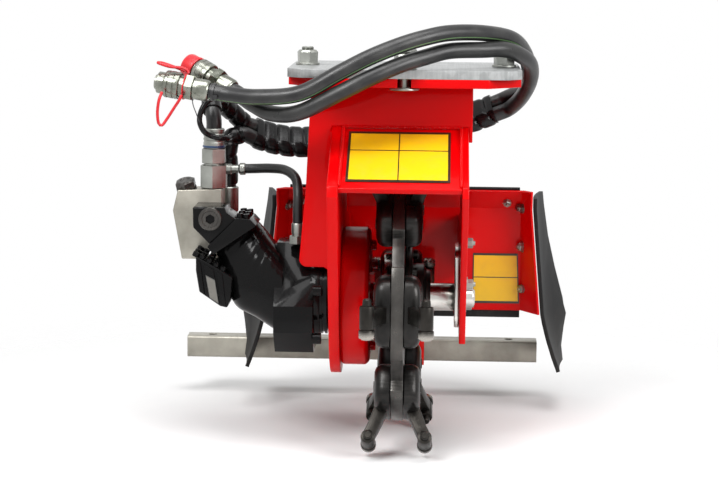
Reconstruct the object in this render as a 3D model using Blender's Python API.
"""Hydraulic stump grinder head for a small excavator.

Frame: +Z up, +X towards the free end of the cutter shaft, -Y towards the side that cuts.
The origin is the centre of the hitch plate's top face, which bolts to the carrier machine.
All sizes are in metres.
"""

from math import acos, atan2, ceil, cos, hypot, pi, radians, sin

import bmesh
import bpy
from mathutils import Matrix, Vector

# ---------------------------------------------------------------- clearances
GAP = 0.0003                 # air between pieces that touch
RUNNING_GAP = 0.00009        # radial air round turning pieces

# ---------------------------------------------------------------- driving dimensions
AXIS_X = -0.0045             # middle of the cutter disc
AXIS_Y = 0.005               # shaft centre, in depth
AXIS_Z = -0.334              # shaft centre, below the hitch face

HITCH_LENGTH = 0.325
HITCH_DEPTH = 0.224
HITCH_THICK = 0.012
HITCH_CHAMFER = 0.020
BOLT_SIDE = 0.140            # side bolts, from the middle
BOLT_FRONT = 0.090           # front and back bolts, from the middle
BOLT_SHANK_R = 0.0088
BOLT_HOLE_R = 0.0095
BOLT_HEAD_R = 0.0210
BOLT_HEAD_THICK = 0.004
BOLT_WASHER_R = 0.0170
BOLT_WASHER_THICK = 0.003
BOLT_NUT_FLATS = 0.027
BOLT_NUT_HEIGHT = 0.016
BOLT_NUT_CROWN = 0.0025
BOLT_THREAD_OUT = 0.004

TOP_PLATE_THICK = 0.012
TOP_PLATE_CHAMFER = 0.046

SIDE_LEFT_THICK = 0.015
SIDE_RIGHT_THICK = 0.009
SIDE_LEFT_OUTER = -0.0975    # outer face, from the disc's middle plane
SIDE_RIGHT_OUTER = 0.0955
SIDE_FOOT_RADIUS = 0.112
SIDE_BACK = 0.112            # rear edge, behind the shaft
SIDE_RIGHT_FOOT = -0.060
SIDE_TAB_TOP = 0.090         # top of the tab that carries the debris guard
SIDE_RISE = 0.002            # how far the side plates stand above the roof plate

FRONT_PLATE_THICK = 0.012
FRONT_PLATE_FACE = -0.049    # its front face, from the shaft
FRONT_LEG_REACH = 0.144      # outer corner of the leg, left of the disc's middle plane
FRONT_LEG_FOOT = 0.048       # bottom of the leg, above the shaft
FRONT_LEG_CORNER = 0.011
FRONT_EAR_FOOT = 0.229       # bottom of the short ear on the right, above the shaft
FRONT_EAR_REACH = 0.005
ROOF_THICK = 0.008
ROOF_TOP = 0.248             # where the roof meets the front plate, above the shaft
LIP_FRONT = -0.188
LIP_TOP = 0.178

SHAFT_R = 0.020
SHAFT_END_R = 0.0135
SHAFT_END = 0.109
SHAFT_START = -0.112
COLLAR_R = 0.062
HUB_R = 0.073
HUB_NECK_R = 0.048
HUB_LENGTH = 0.036
DISC_THICK = 0.017
DISC_R = 0.180
DISC_RELIEF_R = 0.164

STATIONS = 6
FIRST_STATION = radians(1.0)     # above the line of cut
HOLDER_RADIUS = 0.147
HOLDER_LENGTH = 0.100
HOLDER_HEIGHT = 0.066
HOLDER_THICK = 0.0235
HOLDER_PIN_R = 0.009
HOLDER_PIN_PITCH = 0.046
HOLDER_PIN_INSET = 0.004     # pin ends below the holder's outer faces
HOLDER_FOOT_CORNER = 0.020
HOLDER_TOP_CORNER = 0.026
TIP_RADIUS = 0.219
TIP_OFFSET = 0.040
TIP_BODY_R = 0.0110
TIP_LENGTH = 0.056
ARM_WIDTH = 0.024
TIP_SOCKET_R = 0.0101        # the tooth's round shank, behind its carbide head
TIP_TAIL_R = 0.0061
LOBE_HALF_ANGLE = radians(21.0)
RELIEF_SLOPE = radians(1.5)

BEARING_R = 0.040
BEARING_LENGTH = 0.023
ADAPTER_R = 0.100
ADAPTER_LENGTH = 0.040
ADAPTER_LIP = 0.010
ADAPTER_EDGE = 0.005
SHAFT_CLEARANCE = 0.004      # air round the shaft in the housing's front wall
BEARING_SEAL_HALF = 0.004
BEARING_GROOVE = 0.0015
COLLAR_LENGTH = 0.016
COLLAR_EDGE = 0.003
SHAFT_SOCKET_DEPTH = 0.038
HUB_FLANGE_LENGTH = 0.010
HUB_NOSE_STEP = 0.010
FLANGE_HEIGHT = 0.116
FLANGE_DEPTH = 0.090
FLANGE_THICK = 0.007
FLANGE_RISE = 0.018
FLANGE_CORNER = 0.020
FLANGE_CLEARANCE = 0.003

MOTOR_SQUARE = 0.154
MOTOR_CORNER = 0.034
MOTOR_SHOULDER = 0.072       # rise of the long slope on the block's upper front corner
MOTOR_BLOCK_LENGTH = 0.056
MOTOR_SPIGOT_R = 0.058
MOTOR_SPIGOT_LENGTH = 0.024
MOTOR_BORE_ROOM = 0.004      # the motor's bore clears the cutter shaft's end by this
MOTOR_BORE_R = SHAFT_R + MOTOR_BORE_ROOM
MOTOR_SHAFT_R = 0.015
MOTOR_TILT = radians(33.0)
BARREL_R = 0.059
BLOCK_R = 0.036
BARREL_BORE_R = BLOCK_R + RUNNING_GAP
BLOCK_LENGTH = 0.040
COVER_DEPTH = 0.094
COVER_SET_BACK = 0.030
COVER_JOINT_TOP_X = -0.2240  # the joint face between barrel and end cover, at two heights
COVER_JOINT_TOP_RISE = 0.200
COVER_JOINT_LOW_X = -0.2620
COVER_JOINT_LOW_RISE = -0.100
COVER_TOP = 0.131            # top of the end cover, above the shaft
COVER_SHOULDER = 0.110
COVER_FOOT = -0.028
COVER_PLUG_R = 0.0165
COVER_PLUG_KEY = 0.0055
MOTOR_SPIGOT_RIM = 0.008
MOTOR_SPIGOT_STEP = 0.007
BARREL_TAPER = 0.97
DRIVE_FLANGE_START = 0.012
DRIVE_FLANGE_END = 0.006     # past the block's right face
VALVE_DEPTH = 0.050
VALVE_PORT_HALF = 0.019
VALVE_PORT_HEIGHT = 0.040
VALVE_PORT_ROOT = 0.006      # how far the port is sunk into the block
VALVE_PLUG_R = 0.0145
VALVE_PLUG_FLATS = 0.0270

GUARD_BACK = 0.250           # rear panel, behind the shaft
GUARD_HALF = 0.186
GUARD_FOLD_Z = 0.102
GUARD_BOTTOM = -0.061
GUARD_SHEET = 0.004
GUARD_FLARE = 0.026
GUARD_FORWARD = 0.042        # front edge of the flared sides, ahead of the panel
GUARD_STRIP = 0.030          # top strip, up from the fold
GUARD_STRIP_LEAN = 0.032
GUARD_MIDDLE = 0.002         # middle of the guard, right of the disc's middle plane
GUARD_TAPER = 0.985
GUARD_TOP_FLARE = 0.0143
MAT_THICK = 0.006
CURTAIN_DROP = 0.012         # curtain below the panel
CURTAIN_INSET = 0.004
FLAP_DEPTH = 0.105
TUBE_SIZE = 0.035
TUBE_WALL = 0.003
TUBE_LENGTH = 0.564
TUBE_CENTRE_X = -0.066
TUBE_CENTRE_Z = -0.142
TUBE_CENTRE_Y = 0.345        # in the model's own frame
TUBE_CORNER = 0.004
TUBE_HOLE_R = 0.007
TUBE_HOLE_LEFT = 0.040       # pin holes, in from each end
TUBE_HOLE_RIGHT = 0.045
BRACKET_WALL = 0.005
BRACKET_HALF = 0.035
BRACKET_SLIP = 0.0006
BRACKET_TOP = 0.060          # above the shaft
BRACKET_TOP_DEPTH = 0.012

HOSE_R = 0.0113
DRAIN_R = 0.0070
PAIR_OFFSET = 0.0120         # each hose of the pair above or below their middle
SPIRAL_GAP = 0.0009
BUNDLE_SPACING = 0.030
SPIRAL_THICK = 0.0022
SLEEVE_R = 0.0190
SLEEVE_BORE = 0.0155
SLEEVE_LENGTH = 0.022
SLEEVE_TRAVEL = 0.006
SLEEVE_START = 0.042
COUPLER_BASE_R = 0.0150
COUPLER_BASE_END = 0.022     # along the coupler, from where the hose enters it
COUPLER_FLATS = 0.0330
COUPLER_HEX_END = 0.034
COUPLER_BODY_END = 0.074
COUPLER_NOSE_R = 0.0095
COUPLER_NOSE_END = 0.078
CAP_R = 0.0180
CAP_START = 0.0665
CAP_END = 0.0880
CAP_EDGE = 0.002
FERRULE_R = 0.0155
BARB_R = 0.0060
BARB_BOSS_R = 0.0080
SWIVEL_FLATS = 0.0330
ELBOW_FLATS = 0.0370
RETURN_BASE_R = 0.0140
RETURN_FLATS = 0.0320
RETURN_FERRULE_R = 0.0150
DRAIN_FLATS = 0.0220
DRAIN_FITTING_R = 0.0085
DRAIN_FITTING_HEIGHT = 0.030
SEAL_GROOVE = 0.002          # the short neck between two parts of a fitting

STATION_STEP = 2.0 * pi / STATIONS
AXIS = Vector((AXIS_X, AXIS_Y, AXIS_Z))


# ---------------------------------------------------------------- making meshes
def clear_scene():
    for item in list(bpy.data.objects):
        bpy.data.objects.remove(item)


def finish(name, metal):
    """A new object for a sub-part, with its own material."""
    colour, roughness, metallic = metal
    mesh = bpy.data.meshes.new(name)
    item = bpy.data.objects.new(name, mesh)
    bpy.context.collection.objects.link(item)
    material = bpy.data.materials.new(name)
    material.use_nodes = True
    shader = material.node_tree.nodes["Principled BSDF"]
    shader.inputs["Base Color"].default_value = (*colour, 1.0)
    shader.inputs["Roughness"].default_value = roughness
    shader.inputs["Metallic"].default_value = metallic
    mesh.materials.append(material)
    return item


def fill(item, bm, smooth_angle=None):
    """Put a bmesh into an object, faces outwards."""
    bmesh.ops.recalc_face_normals(bm, faces=bm.faces)
    bm.to_mesh(item.data)
    bm.free()
    if smooth_angle is not None:
        item.data.shade_smooth()
        item.data.set_sharp_from_angle(angle=smooth_angle)
    return item


RED = ((0.62, 0.012, 0.014), 0.32, 0.0)
ZINC = ((0.72, 0.73, 0.70), 0.34, 0.9)
STEEL = ((0.46, 0.45, 0.43), 0.30, 1.0)
BLACK_CAST = ((0.022, 0.022, 0.024), 0.38, 0.1)
DARK_STEEL = ((0.09, 0.09, 0.085), 0.42, 0.7)
CARBIDE = ((0.16, 0.15, 0.14), 0.35, 0.8)
RUBBER = ((0.035, 0.033, 0.033), 0.75, 0.0)
HOSE = ((0.030, 0.030, 0.032), 0.50, 0.0)
CAP_RED = ((0.70, 0.02, 0.02), 0.40, 0.0)


def along(axis):
    """The rotation that takes a shape drawn along Z to lie along an axis."""
    return Vector((0.0, 0.0, 1.0)).rotation_difference(Vector(axis)).to_matrix().to_4x4()


def prism(name, metal, outline, across, low, high):
    """A flat plate: an outline in the plane across an axis, from low to high along it."""
    frames = {
        "X": lambda u, v, w: (w, u, v),
        "Y": lambda u, v, w: (u, w, v),
        "Z": lambda u, v, w: (u, v, w),
    }
    place = frames[across]
    bm = bmesh.new()
    lower = [bm.verts.new(place(u, v, low)) for u, v in outline]
    upper = [bm.verts.new(place(u, v, high)) for u, v in outline]
    bm.faces.new(lower)
    bm.faces.new(upper)
    for index in range(len(outline)):
        after = (index + 1) % len(outline)
        bm.faces.new((lower[index], lower[after], upper[after], upper[index]))
    return fill(finish(name, metal), bm)


def ring_radius(kind, size, angle):
    """Distance from the centre to a round or six-sided outline, size being half its width."""
    if kind == "round":
        return size
    turn = (angle + pi / 6.0) % (pi / 3.0) - pi / 6.0
    return size / cos(turn)


def turned(name, metal, steps, place, axis, sides=36, hollow=False, roll=0.0):
    """A turned piece. Each step is (height, half width) or (height, half width, "hex")."""
    bm = bmesh.new()
    matrix = Matrix.Translation(place) @ along(axis) @ Matrix.Rotation(roll, 4, "Z")
    rings = []
    for step in steps:
        height, size = step[0], step[1]
        kind = step[2] if len(step) > 2 else "round"
        ring = []
        for index in range(sides):
            angle = 2.0 * pi * index / sides
            radius = ring_radius(kind, size, angle)
            point = matrix @ Vector((radius * cos(angle), radius * sin(angle), height))
            ring.append(bm.verts.new(point))
        rings.append(ring)
    pairs = list(zip(rings, rings[1:]))
    if hollow:
        pairs.append((rings[-1], rings[0]))
    else:
        bm.faces.new(rings[0])
        bm.faces.new(rings[-1])
    for lower, upper in pairs:
        for index in range(sides):
            after = (index + 1) % sides
            bm.faces.new((lower[index], lower[after], upper[after], upper[index]))
    return fill(finish(name, metal), bm, radians(35.0))


def rounded(corners, steps=6):
    """An outline from (x, y) corners, or (x, y, radius) for a rounded one."""
    outline = []
    count = len(corners)
    for index, corner in enumerate(corners):
        here = Vector(corner[:2])
        radius = corner[2] if len(corner) > 2 else 0.0
        if radius == 0.0:
            outline.append(tuple(here))
            continue
        before = (Vector(corners[index - 1][:2]) - here).normalized()
        after = (Vector(corners[(index + 1) % count][:2]) - here).normalized()
        half = acos(max(-1.0, min(1.0, before.dot(after)))) / 2.0
        reach = radius / sin(half)
        centre = here + (before + after).normalized() * reach
        start = here + before * radius / (sin(half) / cos(half)) - centre
        end = here + after * radius / (sin(half) / cos(half)) - centre
        first = atan2(start.y, start.x)
        sweep = (atan2(end.y, end.x) - first + pi) % (2.0 * pi) - pi
        for step in range(steps + 1):
            angle = first + sweep * step / steps
            outline.append((centre.x + radius * cos(angle), centre.y + radius * sin(angle)))
    return outline


def arc(centre, radius, start, end, steps):
    """Points on an arc, both ends included."""
    turns = [start + (end - start) * step / steps for step in range(steps + 1)]
    return [(centre[0] + radius * cos(turn), centre[1] + radius * sin(turn)) for turn in turns]


def cut(item, *cutters):
    """Subtract cutters from a piece and keep them as hidden guides."""
    for cutter in cutters:
        add_boolean(item, cutter, "DIFFERENCE")


def join(item, *others):
    """Fuse other shapes into a piece."""
    for other in others:
        add_boolean(item, other, "UNION")


def add_boolean(item, other, operation):
    other.hide_render = True
    other.display_type = "WIRE"
    modifier = item.modifiers.new(operation.title(), "BOOLEAN")
    modifier.operation = operation
    modifier.solver = "EXACT"
    modifier.object = other


def rod(name, place, axis, radius, low, high, sides=24):
    """A plain round shape, used as a cutter or as a stem that is fused to a piece."""
    return turned(name, STEEL, [(low, radius), (high, radius)], place, axis, sides)


def smooth_route(route, spacing):
    """Points along a smooth curve through the route's own points."""
    points = [Vector(point) for point in route]
    ends = [2 * points[0] - points[1]] + points + [2 * points[-1] - points[-2]]
    curve = [points[0]]
    for index in range(1, len(ends) - 2):
        before, start, end, after = ends[index - 1:index + 3]
        steps = max(1, ceil((end - start).length / spacing))
        for step in range(1, steps + 1):
            t = step / steps
            bend = (
                2.0 * start
                + (end - before) * t
                + (2.0 * before - 5.0 * start + 4.0 * end - after) * t ** 2
                + (3.0 * start - before - 3.0 * end + after) * t ** 3
            )
            curve.append(bend / 2.0)
    return curve


def hose(name, metal, route, radius, spacing, resolution=2):
    """A hose as a curve object: a tube with flat ends along a route."""
    points = smooth_route(route, spacing)
    curve = bpy.data.curves.new(name, "CURVE")
    curve.dimensions = "3D"
    curve.bevel_depth = radius
    curve.bevel_resolution = resolution
    curve.use_fill_caps = True
    spline = curve.splines.new("POLY")
    spline.points.add(len(points) - 1)
    for spot, point in zip(spline.points, points):
        spot.co = (*point, 1.0)
    holder = finish(name, metal)
    material = holder.data.materials[0]
    bpy.data.objects.remove(holder)
    item = bpy.data.objects.new(name, curve)
    bpy.context.collection.objects.link(item)
    curve.materials.append(material)
    return item


# ---------------------------------------------------------------- hitch
def bolt_places():
    return {
        "left": (-BOLT_SIDE, 0.0),
        "right": (BOLT_SIDE, 0.0),
        "front": (0.0, -BOLT_FRONT),
        "back": (0.0, BOLT_FRONT),
    }


def octagon(length, depth, chamfer):
    x, y = length / 2.0, depth / 2.0
    corners = []
    for sx, sy in ((-1, -1), (1, -1), (1, 1), (-1, 1)):
        first = (sx * x, sy * (y - chamfer))
        second = (sx * (x - chamfer), sy * y)
        corners += [first, second] if sx * sy > 0 else [second, first]
    return corners


def top_plate_top():
    return -HITCH_THICK - GAP


def top_plate_bottom():
    return top_plate_top() - TOP_PLATE_THICK


def make_hitch():
    outline = octagon(HITCH_LENGTH, HITCH_DEPTH, HITCH_CHAMFER)
    plate = prism("hitch_plate", ZINC, outline, "Z", -HITCH_THICK, 0.0)
    outline = octagon(HITCH_LENGTH, HITCH_DEPTH, TOP_PLATE_CHAMFER)
    frame = prism("frame_top_plate", RED, outline, "Z", top_plate_bottom(), top_plate_top())
    low, high = top_plate_bottom() - 0.01, 0.01
    for side, (x, y) in bolt_places().items():
        cut(plate, rod(f"hitch_hole_{side}", (x, y, 0.0), (0, 0, 1), BOLT_HOLE_R, low, high))
        if x == 0.0:
            sign = -1.0 if y < 0.0 else 1.0
            edge = sign * (HITCH_DEPTH / 2.0 + 0.01)
            slot = [(-BOLT_HOLE_R, edge), (-BOLT_HOLE_R, y), (BOLT_HOLE_R, y), (BOLT_HOLE_R, edge)]
            cut(frame, prism(f"frame_slot_{side}", RED, slot, "Z", low, high))
        cut(frame, rod(f"frame_hole_{side}", (x, y, 0.0), (0, 0, 1), BOLT_HOLE_R, low, high))
        make_hitch_bolt(side, x, y)


def make_hitch_bolt(side, x, y):
    head_top = top_plate_bottom() - GAP
    washer_top = GAP + BOLT_WASHER_THICK
    nut_top = washer_top + BOLT_NUT_HEIGHT
    crown = nut_top + BOLT_NUT_CROWN
    steps = [
        (head_top - BOLT_HEAD_THICK, BOLT_HEAD_R),
        (head_top, BOLT_HEAD_R),
        (head_top, BOLT_SHANK_R),
        (GAP, BOLT_SHANK_R),
        (GAP, BOLT_WASHER_R),
        (washer_top, BOLT_WASHER_R),
        (washer_top, BOLT_NUT_FLATS / 2.0, "hex"),
        (nut_top, BOLT_NUT_FLATS / 2.0, "hex"),
        (crown, BOLT_NUT_FLATS / 2.0 * 0.86),
        (crown, BOLT_SHANK_R),
        (crown + BOLT_THREAD_OUT, BOLT_SHANK_R * 0.93),
    ]
    turned(f"hitch_bolt_{side}", ZINC, steps, (x, y, 0.0), (0, 0, 1), 18, roll=radians(14.0))


# ---------------------------------------------------------------- welded frame
def from_axis(points):
    """Outline points given from the shaft centre, moved to where the shaft is."""
    return [(AXIS_Y + y, AXIS_Z + z) for y, z in points]


def frame_height():
    """Underside of the top plate, above the shaft."""
    return top_plate_bottom() - GAP - AXIS_Z


def roof_slope():
    return atan2(ROOF_TOP - LIP_TOP, FRONT_PLATE_FACE - LIP_FRONT)


def side_top_edge():
    """The part of a side plate's outline over the roof and behind the front plate."""
    back_of_front = FRONT_PLATE_FACE + FRONT_PLATE_THICK + GAP
    return [
        (LIP_FRONT - 0.004, LIP_TOP - 0.012),
        (LIP_FRONT, LIP_TOP + SIDE_RISE),
        (FRONT_PLATE_FACE - GAP, ROOF_TOP + SIDE_RISE),
        (back_of_front, ROOF_TOP + SIDE_RISE),
        (back_of_front, frame_height()),
        (SIDE_BACK - 0.012, frame_height()),
        (SIDE_BACK, SIDE_TAB_TOP + 0.020),
        (GUARD_BACK - GUARD_SHEET - GAP, SIDE_TAB_TOP),
        (GUARD_BACK - GUARD_SHEET - GAP, 0.0),
    ]


def left_side_outline():
    """Down the back, round the foot about the shaft, and up the front to the lip."""
    lip = side_top_edge()[0]
    reach = hypot(*lip)
    tangent = atan2(lip[1], lip[0]) + acos(SIDE_FOOT_RADIUS / reach)
    foot = arc((0.0, 0.0), SIDE_FOOT_RADIUS, 0.0, tangent - 2.0 * pi, 22)
    return from_axis(side_top_edge() + foot)


def right_side_outline():
    foot = [
        (SIDE_BACK - 0.022, 0.0),
        (0.058, -0.035),
        (0.050, SIDE_RIGHT_FOOT),
        (-0.050, SIDE_RIGHT_FOOT),
        (-0.058, -0.035),
        (-0.085, 0.02),
    ]
    return from_axis(side_top_edge() + foot)


def side_inner_faces():
    """The inner faces of the two side plates, in X."""
    left = AXIS_X + SIDE_LEFT_OUTER + SIDE_LEFT_THICK
    right = AXIS_X + SIDE_RIGHT_OUTER - SIDE_RIGHT_THICK
    return left, right


def make_side_plates():
    inner_left, inner_right = side_inner_faces()
    outer_left = AXIS_X + SIDE_LEFT_OUTER
    outer_right = AXIS_X + SIDE_RIGHT_OUTER
    left = prism("side_plate_left", RED, left_side_outline(), "X", outer_left, inner_left)
    right = prism("side_plate_right", RED, right_side_outline(), "X", inner_right, outer_right)
    for item, x in ((left, inner_left), (right, inner_right)):
        hole = rod(item.name + "_hole", (x, AXIS_Y, AXIS_Z), (1, 0, 0), BEARING_R + GAP, -0.03, 0.03, 48)
        cut(item, hole)


def make_front_plate():
    """The plate across the front, with a leg down its left side and a short ear on its right."""
    top = AXIS_Z + frame_height()
    roof = AXIS_Z + ROOF_TOP + SIDE_RISE + GAP
    corner_x = AXIS_X - FRONT_LEG_REACH
    foot = AXIS_Z + FRONT_LEG_FOOT
    ear_foot = AXIS_Z + FRONT_EAR_FOOT
    ear = AXIS_X + SIDE_RIGHT_OUTER + GAP
    leg = AXIS_X + SIDE_LEFT_OUTER - GAP
    corners = [
        (corner_x + 0.0175, top),
        (corner_x + 0.0145, AXIS_Z + 0.27),
        (corner_x + 0.0095, AXIS_Z + 0.16),
        (corner_x, foot, FRONT_LEG_CORNER),
        (leg - 0.010, foot),
        (leg, foot - 0.007),
        (leg, roof),
        (ear, roof),
        (ear, ear_foot),
        (ear + FRONT_EAR_REACH, ear_foot),
        (ear + FRONT_EAR_REACH, top),
    ]
    face = AXIS_Y + FRONT_PLATE_FACE
    prism("front_plate", RED, rounded(corners), "Y", face, face + FRONT_PLATE_THICK)


def make_roof():
    """The sloping hood plate over the cutter, welded between the side plates."""
    inner_left, inner_right = side_inner_faces()
    slope = roof_slope()
    down = (ROOF_THICK * sin(slope), -ROOF_THICK * cos(slope))
    outline = from_axis([
        (FRONT_PLATE_FACE - GAP, ROOF_TOP - GAP),
        (LIP_FRONT, LIP_TOP - GAP),
        (LIP_FRONT + down[0], LIP_TOP - GAP + down[1]),
        (FRONT_PLATE_FACE - GAP, ROOF_TOP - GAP - ROOF_THICK / cos(slope)),
    ])
    prism("roof_plate", RED, outline, "X", inner_left + GAP, inner_right - GAP)


# ---------------------------------------------------------------- bearings
def make_bearings():
    inner_left, inner_right = side_inner_faces()
    seat = inner_left + GAP
    steps = [
        (0.0, ADAPTER_R - 0.003),
        (0.003, ADAPTER_R),
        (ADAPTER_LENGTH - ADAPTER_EDGE, ADAPTER_R),
        (ADAPTER_LENGTH, ADAPTER_R - ADAPTER_EDGE),
        (ADAPTER_LENGTH, SHAFT_R + SHAFT_CLEARANCE),
        (ADAPTER_LENGTH - ADAPTER_LIP, SHAFT_R + SHAFT_CLEARANCE),
        (ADAPTER_LENGTH - ADAPTER_LIP, BEARING_R + GAP),
        (0.0, BEARING_R + GAP),
    ]
    turned("bearing_housing", RED, steps, (seat, AXIS_Y, AXIS_Z), (1, 0, 0), 48, hollow=True)
    make_ball_bearing("bearing_left", seat + 0.003)
    face = inner_right - GAP
    depth, height = FLANGE_DEPTH / 2.0, FLANGE_HEIGHT / 2.0
    outline = from_axis(rounded([
        (-depth, FLANGE_RISE - height, FLANGE_CORNER),
        (depth, FLANGE_RISE - height, FLANGE_CORNER),
        (depth, FLANGE_RISE + height, FLANGE_CORNER),
        (-depth, FLANGE_RISE + height, FLANGE_CORNER),
    ]))
    flange = prism("bearing_flange", STEEL, outline, "X", face - FLANGE_THICK, face)
    hole_r = SHAFT_R + FLANGE_CLEARANCE
    cut(flange, rod("flange_hole", (face, AXIS_Y, AXIS_Z), (1, 0, 0), hole_r, -0.02, 0.02, 36))
    make_ball_bearing("bearing_right", face + GAP, AXIS_X + SIDE_RIGHT_OUTER - 0.0005)


def make_ball_bearing(name, start, end=None):
    """A bearing as one closed ring with a shallow groove in its outer face."""
    length = (end - start) if end else BEARING_LENGTH
    middle = (BEARING_R + SHAFT_R) / 2.0
    bore = SHAFT_R + RUNNING_GAP
    groove = length - BEARING_GROOVE
    steps = [
        (0.0, BEARING_R),
        (length, BEARING_R),
        (length, middle + BEARING_SEAL_HALF),
        (groove, middle + BEARING_SEAL_HALF),
        (groove, middle - BEARING_SEAL_HALF),
        (length, middle - BEARING_SEAL_HALF),
        (length, bore),
        (0.0, bore),
    ]
    turned(name, STEEL, steps, (start, AXIS_Y, AXIS_Z), (1, 0, 0), 36, hollow=True)


# ---------------------------------------------------------------- rotor
def make_shaft():
    """The cutter shaft: a splined socket for the motor at the left, a collar against the disc."""
    collar_end = -DISC_THICK / 2.0 - GAP
    collar_start = collar_end - COLLAR_LENGTH
    socket_r = MOTOR_SHAFT_R + RUNNING_GAP
    socket_end = SHAFT_START + SHAFT_SOCKET_DEPTH
    steps = [
        (SHAFT_START, SHAFT_R),
        (collar_start, SHAFT_R),
        (collar_start, COLLAR_R - COLLAR_EDGE),
        (collar_start + COLLAR_EDGE, COLLAR_R),
        (collar_end, COLLAR_R),
        (collar_end, SHAFT_R),
        (SIDE_RIGHT_OUTER - 0.003, SHAFT_R),
        (SIDE_RIGHT_OUTER - 0.003, SHAFT_END_R),
        (SHAFT_END - 0.003, SHAFT_END_R),
        (SHAFT_END, SHAFT_END_R - 0.003),
    ]
    shaft = turned("cutter_shaft", STEEL, steps, AXIS, (1, 0, 0), 36)
    socket = rod("shaft_socket", AXIS, (1, 0, 0), socket_r, SHAFT_START - 0.01, socket_end, 24)
    cut(shaft, socket)


def make_hub():
    base = DISC_THICK / 2.0 + GAP
    neck = base + HUB_FLANGE_LENGTH
    end = base + HUB_LENGTH
    bore = SHAFT_R + GAP
    steps = [
        (base, HUB_R),
        (neck - 0.003, HUB_R),
        (neck, HUB_R - 0.003),
        (neck, HUB_NECK_R),
        (end - HUB_NOSE_STEP, HUB_NECK_R),
        (end - 0.007, HUB_NECK_R - 0.008),
        (end, HUB_NECK_R - HUB_NOSE_STEP),
        (end, bore),
        (base, bore),
    ]
    turned("wheel_hub", DARK_STEEL, steps, AXIS, (1, 0, 0), 36, hollow=True)


def station_angle(index):
    """Direction of a tooth station in the YZ plane, measured from +Y towards +Z."""
    return pi - FIRST_STATION + STATION_STEP * index


def station_matrix(index):
    """From station space to the model: X across, Y along the path of the tooth, Z outwards."""
    turn = station_angle(index)
    outward = Vector((0.0, cos(turn), sin(turn)))
    across = Vector((1.0, 0.0, 0.0))
    ahead = outward.cross(across)
    turned_frame = Matrix((across, ahead, outward)).transposed().to_4x4()
    return Matrix.Translation(AXIS) @ turned_frame


def make_disc():
    """The cutter disc, with a lobe at each station and a relief step between stations."""
    half = DISC_THICK / 2.0
    outline = []
    for index in range(STATIONS):
        turn = station_angle(index)
        outline += arc((0.0, 0.0), DISC_R, turn - LOBE_HALF_ANGLE, turn + LOBE_HALF_ANGLE, 8)
        relief_start = turn + LOBE_HALF_ANGLE + RELIEF_SLOPE
        relief_end = turn + STATION_STEP - LOBE_HALF_ANGLE - RELIEF_SLOPE
        outline += arc((0.0, 0.0), DISC_RELIEF_R, relief_start, relief_end, 4)
    disc = prism("cutter_disc", DARK_STEEL, from_axis(outline), "X", AXIS_X - half, AXIS_X + half)
    cut(disc, rod("disc_bore", AXIS, (1, 0, 0), SHAFT_R + GAP, -0.03, 0.03, 36))
    for index in range(STATIONS):
        matrix = station_matrix(index)
        for sign in (-1.0, 1.0):
            spot = matrix @ Vector((0.0, sign * HOLDER_PIN_PITCH / 2.0, HOLDER_RADIUS))
            name = f"disc_hole_{index}_{'ab'[sign > 0]}"
            cut(disc, rod(name, spot, (1, 0, 0), HOLDER_PIN_R + GAP, -0.03, 0.03, 12))


def shape_in_station(name, metal, outline, low, high, matrix):
    """A prism drawn in station space: an (ahead, outward) outline from low to high across."""
    item = prism(name, metal, outline, "X", low, high)
    item.data.transform(matrix)
    return item


def make_holders():
    """At each station a block each side of the disc, held together by two pins through it."""
    inner = DISC_THICK / 2.0 + GAP
    outer = inner + HOLDER_THICK
    half_length, half_height = HOLDER_LENGTH / 2.0, HOLDER_HEIGHT / 2.0
    low, high = HOLDER_RADIUS - half_height, HOLDER_RADIUS + half_height
    corners = [
        (-half_length, low, HOLDER_FOOT_CORNER),
        (half_length, low, HOLDER_FOOT_CORNER),
        (half_length, high, HOLDER_TOP_CORNER),
        (-half_length, high, HOLDER_TOP_CORNER),
    ]
    pin_end = outer - HOLDER_PIN_INSET
    for index in range(STATIONS):
        matrix = station_matrix(index)
        name = f"tooth_holder_{index + 1}"
        outline = rounded(corners, 4)
        holder = shape_in_station(name, DARK_STEEL, outline, inner, outer, matrix)
        join(holder, shape_in_station(name + "_far", DARK_STEEL, outline, -outer, -inner, matrix))
        for sign in (-1.0, 1.0):
            spot = matrix @ Vector((0.0, sign * HOLDER_PIN_PITCH / 2.0, HOLDER_RADIUS))
            pin_name = f"{name}_pin_{'ab'[sign > 0]}"
            join(holder, rod(pin_name, spot, (1, 0, 0), HOLDER_PIN_R, -pin_end, pin_end, 12))


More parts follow.
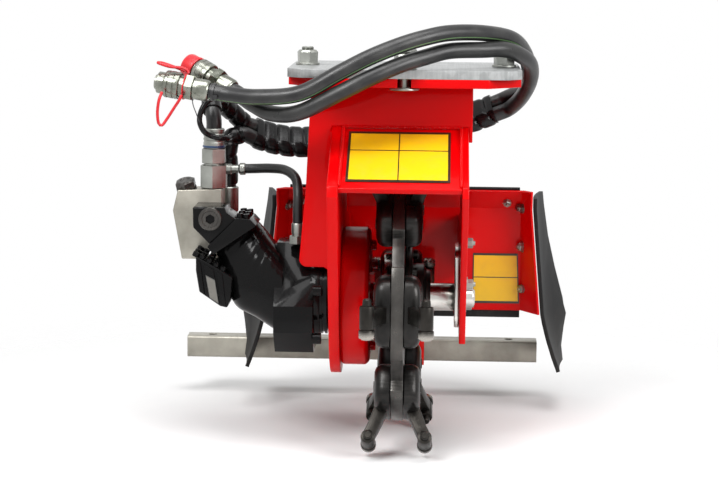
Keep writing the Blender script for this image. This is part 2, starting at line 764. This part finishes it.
def make_teeth():
    """Two teeth a station: a bent arm off the holder and a round tip along the path of cut."""
    foot = HOLDER_RADIUS + HOLDER_HEIGHT / 2.0 + GAP
    inner = DISC_THICK / 2.0
    half = TIP_LENGTH / 2.0
    steps = [
        (-half, TIP_TAIL_R, "hex"),
        (-half + 0.010, TIP_TAIL_R + 0.0018, "hex"),
        (-half + 0.010, TIP_SOCKET_R),
        (half - 0.014, TIP_SOCKET_R),
        (half - 0.012, TIP_BODY_R),
        (half - 0.003, TIP_BODY_R),
        (half, TIP_BODY_R - 0.0022),
    ]
    for index in range(STATIONS):
        matrix = station_matrix(index)
        for side, sign in (("left", -1.0), ("right", 1.0)):
            name = f"tooth_{index + 1}_{side}"
            profile = [
                (inner + 0.001, foot),
                (inner + 0.022, foot),
                (TIP_OFFSET + 0.006, TIP_RADIUS - 0.012),
                (TIP_OFFSET + 0.004, TIP_RADIUS),
                (TIP_OFFSET - 0.008, TIP_RADIUS),
            ]
            outline = [(sign * x, z) for x, z in profile]
            arm = prism(name, DARK_STEEL, outline, "Y", -ARM_WIDTH / 2.0, ARM_WIDTH / 2.0)
            arm.data.transform(matrix)
            bm = bmesh.new()
            bm.from_mesh(arm.data)
            fill(arm, bm)
            tip = turned(name + "_tip", CARBIDE, steps, (0.0, 0.0, 0.0), (0, 1, 0), 12)
            tip.data.transform(matrix @ Matrix.Translation((sign * TIP_OFFSET, 0.0, TIP_RADIUS)))
            join(arm, tip)


# ---------------------------------------------------------------- motor
def motor_faces():
    """X of the motor's mounting face, of its block's right face and of its block's left face."""
    mounting = AXIS_X + SIDE_LEFT_OUTER - GAP
    right = mounting - MOTOR_SPIGOT_LENGTH
    return mounting, right, right - MOTOR_BLOCK_LENGTH


def tilt_axis():
    return Vector((-cos(MOTOR_TILT), 0.0, sin(MOTOR_TILT)))


def tilt_start():
    """Where the tilted axis leaves the block's left face."""
    return Vector((motor_faces()[2], AXIS_Y, AXIS_Z))


def make_motor_block():
    _, right, left = motor_faces()
    half, corner = MOTOR_SQUARE / 2.0, MOTOR_CORNER
    outline = from_axis([
        (-half, corner - half),
        (corner - half, -half),
        (half - corner, -half),
        (half, corner - half),
        (half, half - corner),
        (half - corner, half),
        (MOTOR_SHOULDER - half - 0.003, half),
        (-half, half - MOTOR_SHOULDER - 0.010),
    ])
    block = prism("motor_flange_block", BLACK_CAST, outline, "X", left, right)
    centre = (right, AXIS_Y, AXIS_Z)
    neck_r = MOTOR_SPIGOT_R - MOTOR_SPIGOT_STEP
    spigot = [
        (-0.005, MOTOR_SPIGOT_R),
        (MOTOR_SPIGOT_RIM, MOTOR_SPIGOT_R),
        (MOTOR_SPIGOT_RIM, neck_r),
        (MOTOR_SPIGOT_LENGTH, neck_r),
    ]
    join(block, turned("motor_spigot", BLACK_CAST, spigot, centre, (1, 0, 0), 36))
    cut(block, rod("motor_bore", centre, (1, 0, 0), MOTOR_BORE_R, -0.10, 0.06, 60))
    cavity = rod("motor_cavity", tilt_start(), tilt_axis(), BARREL_BORE_R, -0.030, 0.05, 60)
    cut(block, cavity)


def make_motor_barrel():
    """The tilted barrel housing, flat where it meets the block and the end cover."""
    start, axis = tilt_start(), tilt_axis()
    barrel = turned(
        "motor_barrel_housing", BLACK_CAST,
        [(-0.09, BARREL_R), (0.16, BARREL_R * BARREL_TAPER)], start, axis, 40,
    )
    beyond = 0.3
    low, high = AXIS_Y - beyond, AXIS_Y + beyond
    face = motor_faces()[2] - GAP
    block_side = [
        (face, AXIS_Z - beyond),
        (face + beyond, AXIS_Z - beyond),
        (face + beyond, AXIS_Z + beyond),
        (face, AXIS_Z + beyond),
    ]
    cut(barrel, prism("barrel_trim_block", BLACK_CAST, block_side, "Y", low, high))
    (top_x, top_z), (low_x, low_z) = cover_joint_line()
    cover_side = [
        (top_x, top_z),
        (low_x, low_z),
        (low_x - beyond, low_z),
        (top_x - beyond, top_z),
    ]
    cut(barrel, prism("barrel_trim_cover", BLACK_CAST, cover_side, "Y", low, high))
    cut(barrel, rod("barrel_bore", start, axis, BARREL_BORE_R, -0.12, 0.20, 60))


def cover_joint_line():
    """The plane between barrel and end cover, as its top and bottom points in XZ."""
    top = (COVER_JOINT_TOP_X + GAP, AXIS_Z + COVER_JOINT_TOP_RISE)
    bottom = (COVER_JOINT_LOW_X + GAP, AXIS_Z + COVER_JOINT_LOW_RISE)
    return top, bottom


def joint_x(z):
    """X of the cover's joint face at a height."""
    (top_x, top_z), (low_x, low_z) = cover_joint_line()
    return low_x + (top_x - low_x) * (z - low_z) / (top_z - low_z) - GAP


def make_motor_cover():
    """The end cover: a cast body with the front port block on its upper left."""
    top = AXIS_Z + COVER_TOP
    shoulder = AXIS_Z + COVER_SHOULDER
    foot = AXIS_Z + COVER_FOOT
    corners = [
        (-0.303, top, 0.004),
        (-0.262, top, 0.004),
        (joint_x(shoulder), shoulder),
        (joint_x(foot), foot),
        (-0.268, foot, 0.004),
        (-0.297, foot + 0.018, 0.006),
        (-0.310, foot + 0.055, 0.006),
        (-0.303, AXIS_Z + 0.090, 0.004),
    ]
    low, high = AXIS_Y - COVER_DEPTH / 2.0, cover_back()
    cover = prism("motor_end_cover", BLACK_CAST, rounded(corners, 3), "Y", low, high)
    spot = Vector((-0.276, low, top - 0.018))
    plug = [(-0.002, COVER_PLUG_R), (0.004, COVER_PLUG_R), (0.006, COVER_PLUG_R - 0.002)]
    join(cover, turned("cover_plug", BLACK_CAST, plug, spot, (0, -1, 0), 24))
    key = [(0.001, COVER_PLUG_KEY, "hex"), (0.020, COVER_PLUG_KEY, "hex")]
    cut(cover, turned("cover_plug_socket", BLACK_CAST, key, spot, (0, -1, 0), 24))


def make_cylinder_block():
    """Inside the motor: the output shaft with its drive flange, and the tilted cylinder block."""
    left = motor_faces()[2]
    reach = AXIS_X + SHAFT_START + SHAFT_SOCKET_DEPTH - 0.002 - left
    flange_r = MOTOR_BORE_R - RUNNING_GAP
    flange_end = MOTOR_BLOCK_LENGTH + DRIVE_FLANGE_END
    steps = [
        (DRIVE_FLANGE_START, flange_r),
        (flange_end, flange_r),
        (flange_end, MOTOR_SHAFT_R),
        (reach - 0.002, MOTOR_SHAFT_R),
        (reach, MOTOR_SHAFT_R - 0.002),
    ]
    turned("motor_output_shaft", STEEL, steps, (left, AXIS_Y, AXIS_Z), (1, 0, 0), 24)
    block = [(0.0, BLOCK_R - 0.004), (0.004, BLOCK_R), (BLOCK_LENGTH, BLOCK_R)]
    base = tilt_start() + tilt_axis() * 0.010
    turned("motor_cylinder_block", STEEL, block, base, tilt_axis(), 28)


def cover_back():
    """Rear face of the end cover, in Y."""
    return AXIS_Y + COVER_DEPTH / 2.0 - COVER_SET_BACK


def make_valve_block():
    """The zinc-plated valve block behind the port block."""
    outline = [
        (-0.337, AXIS_Z + 0.118),
        (-0.330, AXIS_Z + 0.148),
        (-0.265, AXIS_Z + 0.150),
        (-0.265, AXIS_Z + 0.070),
        (-0.300, AXIS_Z + 0.047),
        (-0.324, AXIS_Z + 0.047),
    ]
    block = prism("valve_block", ZINC, outline, "Y", cover_back() + GAP, cover_back() + VALVE_DEPTH)
    port_left, port_right = RETURN_PORT[0] - VALVE_PORT_HALF, RETURN_PORT[0] + VALVE_PORT_HALF
    port_top = RETURN_PORT[2] - GAP
    port_foot = RETURN_PORT[2] - VALVE_PORT_HEIGHT
    outline = [
        (port_left, port_foot),
        (port_right, port_foot),
        (port_right, port_top),
        (port_left, port_top),
    ]
    root = cover_back() + VALVE_DEPTH - VALVE_PORT_ROOT
    join(block, prism("valve_return_port", ZINC, outline, "Y", root, RETURN_PORT[1] + VALVE_PORT_HALF))
    flats = VALVE_PLUG_FLATS / 2.0
    plug = [
        (-0.004, VALVE_PLUG_R),
        (0.006, VALVE_PLUG_R),
        (0.006, flats, "hex"),
        (0.019, flats, "hex"),
        (0.021, flats - 0.002),
    ]
    spot = (-0.320, cover_back() + 0.022, AXIS_Z + 0.147)
    join(block, turned("valve_plug", ZINC, plug, spot, (-0.20, 0, 1), 24))


# ---------------------------------------------------------------- hoses and fittings
PRESSURE_PORT = (-0.2790, 0.0430, AXIS_Z + 0.150 + GAP)
PRESSURE_HEIGHT = 0.087
RETURN_PORT = (-0.2630, 0.0980, -0.2600)
RETURN_HEIGHT = 0.072
DRAIN_X = -0.152
DRAIN_Y = -0.015
BARB_X = -0.2430             # end of the drain barb on the pressure fitting
BARB_Z = -0.1560
COUPLER_FRONT = (-0.2687, -0.1100, -0.0323)
FRONT_LIE = (-0.98, 0.14, 0.15)
COUPLER_BACK = (-0.2398, -0.0800, -0.0331)
BACK_LIE = (-0.80, 0.46, 0.40)
PAIR_TILT = radians(48.0)    # the upper hose of the pair leans this far back from straight above

# the middle of the pair of hoses, from right to left behind the frame
BUNDLE_ROUTE = [
    (0.1514, 0.1400, -0.0616), (0.1308, 0.1430, -0.0711), (0.1056, 0.1460, -0.0814),
    (0.0623, 0.1460, -0.0910), (0.0129, 0.1460, -0.0992), (-0.0396, 0.1460, -0.1074),
    (-0.0922, 0.1460, -0.1165), (-0.1327, 0.1440, -0.1229), (-0.1716, 0.1400, -0.1238),
    (-0.2102, 0.1320, -0.1161), (-0.2437, 0.1190, -0.1026),
]
PRESSURE_FRONT = [
    (-0.2400, -0.1150, -0.0362), (-0.2000, -0.1320, -0.0380), (-0.1410, -0.1460, -0.0310),
    (-0.0870, -0.1500, -0.0020), (-0.0460, -0.1420, 0.0190), (-0.0060, -0.1280, 0.0350),
    (0.0280, -0.1120, 0.0450), (0.0620, -0.0920, 0.0510), (0.1068, -0.0560, 0.0501),
    (0.1475, -0.0100, 0.0415), (0.1680, 0.0340, 0.0225), (0.1789, 0.0740, -0.0081),
    (0.1753, 0.1160, -0.0372),
]
RETURN_FRONT = [
    (-0.2080, -0.1010, -0.0510), (-0.1800, -0.1200, -0.0615), (-0.1410, -0.1420, -0.0570),
    (-0.0860, -0.1530, -0.0290), (-0.0460, -0.1460, -0.0090), (-0.0060, -0.1280, 0.0080),
    (0.0280, -0.1080, 0.0180), (0.0620, -0.0860, 0.0260), (0.1072, -0.0600, 0.0268),
    (0.1390, -0.0400, 0.0268), (0.1620, -0.0160, 0.0180), (0.1775, 0.0160, 0.0040),
    (0.1800, 0.0500, -0.0200), (0.1700, 0.0940, -0.0482),
]
PRESSURE_TAIL = [
    (-0.2660, 0.1080, -0.0720), (-0.2800, 0.0850, -0.0580), (-0.2850, 0.0620, -0.0580),
    (-0.2815, 0.0470, -0.0720), (-0.2790, 0.0430, -0.0860),
    (-0.2790, 0.0430, PRESSURE_PORT[2] + PRESSURE_HEIGHT + GAP),
]
RETURN_TAIL = [
    (-0.2590, 0.1060, -0.1160), (-0.2640, 0.1000, -0.1340), (-0.2630, 0.0980, -0.1560),
    (-0.2630, 0.0980, -0.1720), (-0.2630, 0.0980, RETURN_PORT[2] + RETURN_HEIGHT + GAP),
]
DRAIN_ROUTE = [
    (BARB_X + 2.0 * GAP, 0.0430, BARB_Z), (-0.2200, 0.0420, -0.1550), (-0.1950, 0.0340, -0.1535),
    (-0.1730, 0.0220, -0.1545), (-0.1570, 0.0050, -0.1640), (-0.1520, -0.0100, -0.1830),
    (-0.1520, -0.0150, -0.2050), (-0.1520, -0.0150, -0.2262),
]


def make_fittings():
    make_pressure_fitting()
    elbow = RETURN_FLATS / 2.0
    steps = [
        (0.0, RETURN_BASE_R),
        (0.014, RETURN_BASE_R),
        (0.014, elbow, "hex"),
        (0.032, elbow, "hex"),
        (0.034, RETURN_FERRULE_R - 0.0015),
        (0.036, RETURN_FERRULE_R),
        (RETURN_HEIGHT - 0.002, RETURN_FERRULE_R),
        (RETURN_HEIGHT, RETURN_FERRULE_R - 0.001),
    ]
    turned("return_fitting", ZINC, steps, RETURN_PORT, (0, 0, 1), 24)
    top = AXIS_Z + MOTOR_SQUARE / 2.0 + GAP
    flats = DRAIN_FLATS / 2.0
    steps = [
        (0.0, flats, "hex"),
        (0.012, flats, "hex"),
        (0.012, DRAIN_FITTING_R - 0.0005),
        (DRAIN_FITTING_HEIGHT, DRAIN_FITTING_R),
    ]
    turned("drain_fitting", ZINC, steps, (DRAIN_X, DRAIN_Y, top), (0, 0, 1), 24)


def make_pressure_fitting():
    """A hex elbow, a swivel nut and a ferrule, with the drain hose's barb on the elbow's side."""
    elbow, swivel = ELBOW_FLATS / 2.0, SWIVEL_FLATS / 2.0
    swivel_start, swivel_end = 0.036, 0.058
    steps = [
        (0.0, elbow, "hex"),
        (swivel_start - SEAL_GROOVE, elbow, "hex"),
        (swivel_start - SEAL_GROOVE, swivel - SEAL_GROOVE),
        (swivel_start, swivel - SEAL_GROOVE),
        (swivel_start, swivel, "hex"),
        (swivel_end, swivel, "hex"),
        (swivel_end, FERRULE_R - SEAL_GROOVE),
        (swivel_end + SEAL_GROOVE, FERRULE_R - SEAL_GROOVE),
        (swivel_end + SEAL_GROOVE, FERRULE_R),
        (PRESSURE_HEIGHT - 0.002, FERRULE_R),
        (PRESSURE_HEIGHT, FERRULE_R - 0.0015),
    ]
    fitting = turned("pressure_fitting", ZINC, steps, PRESSURE_PORT, (0, 0, 1), 24)
    barb_start = (PRESSURE_PORT[0], PRESSURE_PORT[1], BARB_Z)
    reach = BARB_X - PRESSURE_PORT[0]
    boss_end = reach - 0.010
    barb = [(0.010, BARB_BOSS_R), (boss_end, BARB_BOSS_R), (boss_end, BARB_R), (reach, BARB_R)]
    join(fitting, turned("drain_barb", ZINC, barb, barb_start, (1, 0, 0), 20))


def pair_frames(points):
    """At each point, the unit vector from the lower hose to the upper one, and the one across both."""
    lean = Vector((0.0, sin(PAIR_TILT), cos(PAIR_TILT)))
    frames = []
    for index in range(len(points)):
        after = points[min(index + 1, len(points) - 1)]
        ahead = (after - points[max(index - 1, 0)]).normalized()
        upper = (lean - ahead * lean.dot(ahead)).normalized()
        frames.append((upper, ahead.cross(upper).normalized()))
    return frames


def beside(offset):
    """The bundle's route moved towards one of its two hoses."""
    points = smooth_route(BUNDLE_ROUTE, BUNDLE_SPACING)
    return [point + upper * offset for point, (upper, _) in zip(points, pair_frames(points))]


def leaving(coupler, lie):
    """The start of a hose, straight out of the back of its coupler."""
    axis = Vector(lie).normalized()
    return [Vector(coupler) - axis * reach for reach in (2.0 * GAP, HOSE_R)]


def make_hoses():
    spacing = HOSE_R * 2.0 * 2.4
    pressure = leaving(COUPLER_FRONT, FRONT_LIE) + PRESSURE_FRONT + beside(PAIR_OFFSET) + PRESSURE_TAIL
    hose("pressure_hose", HOSE, pressure, HOSE_R, spacing)
    return_line = leaving(COUPLER_BACK, BACK_LIE) + RETURN_FRONT + beside(-PAIR_OFFSET) + RETURN_TAIL
    hose("return_hose", HOSE, return_line, HOSE_R, spacing)
    make_spiral_guard()
    hose("drain_hose", HOSE, DRAIN_ROUTE, DRAIN_R, DRAIN_R * 4.0)


def stadium(radius, rise, steps=6):
    """A round-ended outline about two points rise above and below the middle."""
    upper = [(x, z + rise) for x, z in arc((0.0, 0.0), radius, 0.0, pi, steps)]
    lower = [(x, z - rise) for x, z in arc((0.0, 0.0), radius, pi, 2.0 * pi, steps)]
    return upper + lower


def make_spiral_guard():
    """The wrap round the pair of hoses, as one sleeve open at both ends."""
    points = smooth_route(BUNDLE_ROUTE, BUNDLE_SPACING)
    inner = HOSE_R + SPIRAL_GAP
    profile = stadium(inner + SPIRAL_THICK, PAIR_OFFSET), stadium(inner, PAIR_OFFSET)
    bm = bmesh.new()
    stations = []
    for point, (upper, side) in list(zip(points, pair_frames(points)))[1:-1]:
        station = [
            [bm.verts.new(point + side * x + upper * z) for x, z in outline]
            for outline in profile
        ]
        stations.append(station)
    count = len(profile[0])
    for first, second in zip(stations, stations[1:]):
        for lower, upper in zip(first, second):
            for index in range(count):
                after = (index + 1) % count
                bm.faces.new((lower[index], lower[after], upper[after], upper[index]))
    for outer, bore in (stations[0], stations[-1]):
        for index in range(count):
            after = (index + 1) % count
            bm.faces.new((outer[index], outer[after], bore[after], bore[index]))
    fill(finish("hose_spiral", HOSE), bm, radians(40.0))


# ---------------------------------------------------------------- quick couplers
def make_couplers():
    flats = COUPLER_FLATS / 2.0
    body_r = SLEEVE_BORE - GAP
    body = [
        (0.0, COUPLER_BASE_R - 0.002),
        (0.004, COUPLER_BASE_R),
        (COUPLER_BASE_END, COUPLER_BASE_R),
        (COUPLER_BASE_END, flats, "hex"),
        (COUPLER_HEX_END, flats, "hex"),
        (COUPLER_HEX_END, body_r),
        (COUPLER_BODY_END, body_r),
        (COUPLER_BODY_END, COUPLER_NOSE_R + 0.001),
        (COUPLER_NOSE_END, COUPLER_NOSE_R),
    ]
    sleeve_end = SLEEVE_START + SLEEVE_LENGTH
    sleeve = [
        (SLEEVE_START, SLEEVE_R - 0.001),
        (SLEEVE_START + 0.002, SLEEVE_R),
        (sleeve_end - 0.003, SLEEVE_R),
        (sleeve_end, SLEEVE_R - 0.003),
        (sleeve_end, SLEEVE_BORE),
        (SLEEVE_START, SLEEVE_BORE),
    ]
    for name, place, axis in (("front", COUPLER_FRONT, FRONT_LIE), ("back", COUPLER_BACK, BACK_LIE)):
        turned(f"coupler_{name}", ZINC, body, place, axis, 24)
        turned(f"coupler_sleeve_{name}", ZINC, sleeve, place, axis, 24, hollow=True)
    cap = [
        (COUPLER_NOSE_END + 0.0005, SLEEVE_BORE),
        (CAP_START, SLEEVE_BORE),
        (CAP_START, CAP_R),
        (CAP_END - CAP_EDGE, CAP_R),
        (CAP_END, CAP_R - CAP_EDGE),
    ]
    turned("dust_cap", CAP_RED, cap, COUPLER_BACK, BACK_LIE, 24)


# ---------------------------------------------------------------- debris guard
def guard_edge(z):
    """How far out the front edge of a flared side is, from the guard's middle, at a height."""
    low = GUARD_HALF + GUARD_FLARE
    high = GUARD_HALF * GUARD_TAPER + GUARD_TOP_FLARE
    share = (z - GUARD_BOTTOM) / (GUARD_FOLD_Z - GUARD_BOTTOM)
    return low + (high - low) * max(0.0, min(1.0, share))


def make_guard():
    """A folded sheet: rear panel, flared sides and a forward-leaning top strip."""
    back = AXIS_Y + GUARD_BACK
    middle = AXIS_X + GUARD_MIDDLE
    top_half = GUARD_HALF * GUARD_TAPER
    rows = []
    for z, lean, half, sweep in (
        (GUARD_BOTTOM, 0.0, GUARD_HALF, 0.0),
        (GUARD_FOLD_Z, 0.0, top_half, 0.0),
        (GUARD_FOLD_Z + GUARD_STRIP, GUARD_STRIP_LEAN, top_half, 0.010),
    ):
        forward = GUARD_FORWARD + sweep
        edge = guard_edge(z)
        rows.append([
            (middle - edge, back - forward, z),
            (middle - half, back - lean, z),
            (middle + half, back - lean, z),
            (middle + edge, back - forward, z),
        ])
    sheet_from_rows("guard_panel", RED, rows, GUARD_SHEET)


def sheet_from_rows(name, metal, rows, thickness, side=1.0):
    """A sheet through rows of points, thickened to one side with a Solidify modifier."""
    bm = bmesh.new()
    grid = [[bm.verts.new((x, y, z + AXIS_Z)) for x, y, z in row] for row in rows]
    for lower, upper in zip(grid, grid[1:]):
        for index in range(len(lower) - 1):
            bm.faces.new((lower[index], lower[index + 1], upper[index + 1], upper[index]))
    item = finish(name, metal)
    bm.to_mesh(item.data)
    bm.free()
    solid = item.modifiers.new("Sheet", "SOLIDIFY")
    solid.thickness = thickness
    solid.offset = side
    solid.use_even_offset = True
    return item


# height above the shaft, then how far outside the guard's edge the flap's front and rear edges hang
FLAP_ROWS = [
    (-0.152, 0.0280, 0.0380),
    (-0.128, 0.0190, 0.0350),
    (-0.100, 0.0100, 0.0380),
    (-0.075, 0.0035, 0.0420),
    (-0.061, 0.0006, 0.0380),
    (-0.050, 0.0006, 0.0370),
    (0.0, 0.0006, 0.0274),
    (0.050, 0.0006, 0.0199),
    (0.102, 0.0007, 0.0165),
    (0.120, 0.0007, 0.0145),
]


def make_mats():
    """Rubber: a curtain behind the panel and a hanging flap outside each flared side."""
    back = AXIS_Y + GUARD_BACK
    middle = AXIS_X + GUARD_MIDDLE
    half = GUARD_HALF - CURTAIN_INSET
    rows = [
        [(middle - half, back + GAP, z), (middle + half, back + GAP, z)]
        for z in (GUARD_BOTTOM - CURTAIN_DROP, 0.0, GUARD_FOLD_Z)
    ]
    sheet_from_rows("rear_curtain", RUBBER, rows, MAT_THICK, -1.0)
    steps = 4
    for name, sign in (("left", -1.0), ("right", 1.0)):
        rows = []
        for z, front_out, rear_out in FLAP_ROWS:
            edge = guard_edge(z)
            row = []
            for step in range(steps + 1):
                t = step / steps
                x = middle + sign * (edge + front_out + (rear_out - front_out) * t * t)
                row.append((x, back - GUARD_FORWARD + FLAP_DEPTH * t, z))
            rows.append(row)
        sheet_from_rows(f"flap_{name}", RUBBER, rows, MAT_THICK, sign)


def square_about_tube(half, radius=0.0):
    """A square outline about the support tube's middle line."""
    y, z = TUBE_CENTRE_Y, AXIS_Z + TUBE_CENTRE_Z
    corners = [
        (y - half, z - half, radius),
        (y + half, z - half, radius),
        (y + half, z + half, radius),
        (y - half, z + half, radius),
    ]
    return rounded(corners, 3)


def make_support_tube():
    half = TUBE_SIZE / 2.0
    inside = half - TUBE_WALL
    middle = AXIS_X + TUBE_CENTRE_X
    low, high = middle - TUBE_LENGTH / 2.0, middle + TUBE_LENGTH / 2.0
    tube = prism("support_tube", ZINC, square_about_tube(half, TUBE_CORNER), "X", low, high)
    bore = square_about_tube(inside, TUBE_CORNER / 2.0)
    cut(tube, prism("support_tube_bore", ZINC, bore, "X", low - 0.01, high + 0.01))
    height = AXIS_Z + TUBE_CENTRE_Z
    for name, x in (("left", low + TUBE_HOLE_LEFT), ("right", high - TUBE_HOLE_RIGHT)):
        place = (x, TUBE_CENTRE_Y, height)
        cut(tube, rod(f"tube_hole_{name}", place, (0, 0, 1), TUBE_HOLE_R, -0.03, 0.03, 16))


def make_tube_bracket():
    """A welded bracket from the guard's rear face down to a clamp collar round the tube."""
    inner = TUBE_SIZE / 2.0 + BRACKET_SLIP
    outer = inner + BRACKET_WALL
    low, high = AXIS_X - BRACKET_HALF, AXIS_X + BRACKET_HALF
    collar = prism("tube_bracket", RED, square_about_tube(outer), "X", low, high)
    bore = square_about_tube(inner)
    cut(collar, prism("tube_bracket_bore", RED, bore, "X", low - 0.01, high + 0.01))
    front = AXIS_Y + GUARD_BACK + GAP + MAT_THICK + GAP
    back = TUBE_CENTRE_Y + outer
    foot = AXIS_Z + TUBE_CENTRE_Z + inner + 0.001
    top = AXIS_Z + BRACKET_TOP
    outline = [(front, foot), (back, foot), (front + BRACKET_TOP_DEPTH, top), (front, top)]
    join(collar, prism("tube_bracket_post", RED, outline, "X", low, high))


def build():
    clear_scene()
    make_hitch()
    make_side_plates()
    make_front_plate()
    make_roof()
    make_bearings()
    make_shaft()
    make_hub()
    make_disc()
    make_holders()
    make_teeth()
    make_motor_block()
    make_motor_barrel()
    make_motor_cover()
    make_cylinder_block()
    make_valve_block()
    make_fittings()
    make_hoses()
    make_couplers()
    make_guard()
    make_mats()
    make_support_tube()
    make_tube_bracket()


build()
